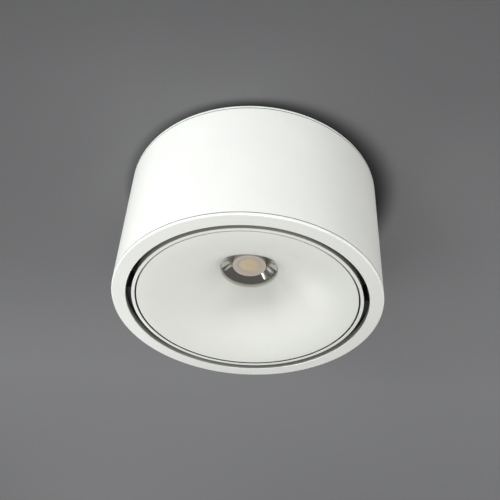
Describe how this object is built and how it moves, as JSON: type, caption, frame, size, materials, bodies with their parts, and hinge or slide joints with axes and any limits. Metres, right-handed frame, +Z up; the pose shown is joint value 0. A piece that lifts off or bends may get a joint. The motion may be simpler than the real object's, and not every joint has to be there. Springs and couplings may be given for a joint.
{
  "type": "surface mounted ceiling spotlight",
  "caption": "White cylindrical surface mounted ceiling spotlight with a recessed gimbal head, bell shaped reflector funnel and small faceted optic; the head tilts and swivels.",
  "frame": {"origin": "centre of the two fixing slots, on the plate's face that meets the ceiling", "axes": "+Z points up into the ceiling, +X runs through both fixing slots and along the head's tilt axis at rest"},
  "size_m": [0.17, 0.17, 0.091],
  "materials": {
    "white_paint": "fine matt white powder coat",
    "white_plastic": "matt white moulded funnel",
    "mirror_coat": "metallised mirror coating on facets",
    "clear_lens": "clear moulded lens, warm from the light source behind",
    "holder_plastic": "pale glossy plastic",
    "board_white": "white solder mask",
    "phosphor": "yellow phosphor, unlit",
    "pad_grey": "soft grey thermal pad",
    "bare_aluminium": "bare die-cast aluminium",
    "steel": "zinc plated steel",
    "dark_zinc": "black passivated steel",
    "glide_plastic": "dark low friction plastic",
    "driver_plastic": "matt light plastic",
    "terminal_plastic": "matt grey plastic",
    "brass": "plain brass",
    "black_rubber": "black rubber"
  },
  "bodies": {
    "housing": {"ceiling_plate": "white_paint", "plate_studs": "steel", "tube_nuts": "steel", "housing_tube": "white_paint", "bezel_ring": "white_paint", "glide_ring": "glide_plastic", "retaining_ring": "steel", "entry_grommet": "black_rubber", "driver_tray": "driver_plastic", "driver_case": "driver_plastic", "driver_screws": "steel", "terminal_block": "terminal_plastic", "terminal_screws": "steel", "earth_cup": "brass", "earth_screw": "brass"},
    "gimbal": {"gimbal_ring": "dark_zinc"},
    "head": {"head_shell": "white_paint", "funnel": "white_plastic", "reflector": "mirror_coat", "lens": "clear_lens", "lens_holder": "holder_plastic", "led_board": "board_white", "led_chip": "phosphor", "thermal_pad": "pad_grey", "board_screws": "steel", "heat_sink": "bare_aluminium", "heat_sink_screws": "steel", "pivot_screws": "steel", "friction_washers": "glide_plastic", "limit_pins": "steel", "lead_grommet": "black_rubber"}
  },
  "joints": [
    {"name": "swivel", "type": "hinge", "parent": "housing", "child": "gimbal", "pos_m": [0, 0, -0.0853], "axis": [0, 0, 1], "range_deg": [-175, 175]},
    {"name": "tilt", "type": "hinge", "parent": "gimbal", "child": "head", "pos_m": [0, 0, -0.081], "axis": [1, 0, 0], "range_deg": [-30, 30]}
  ]
}
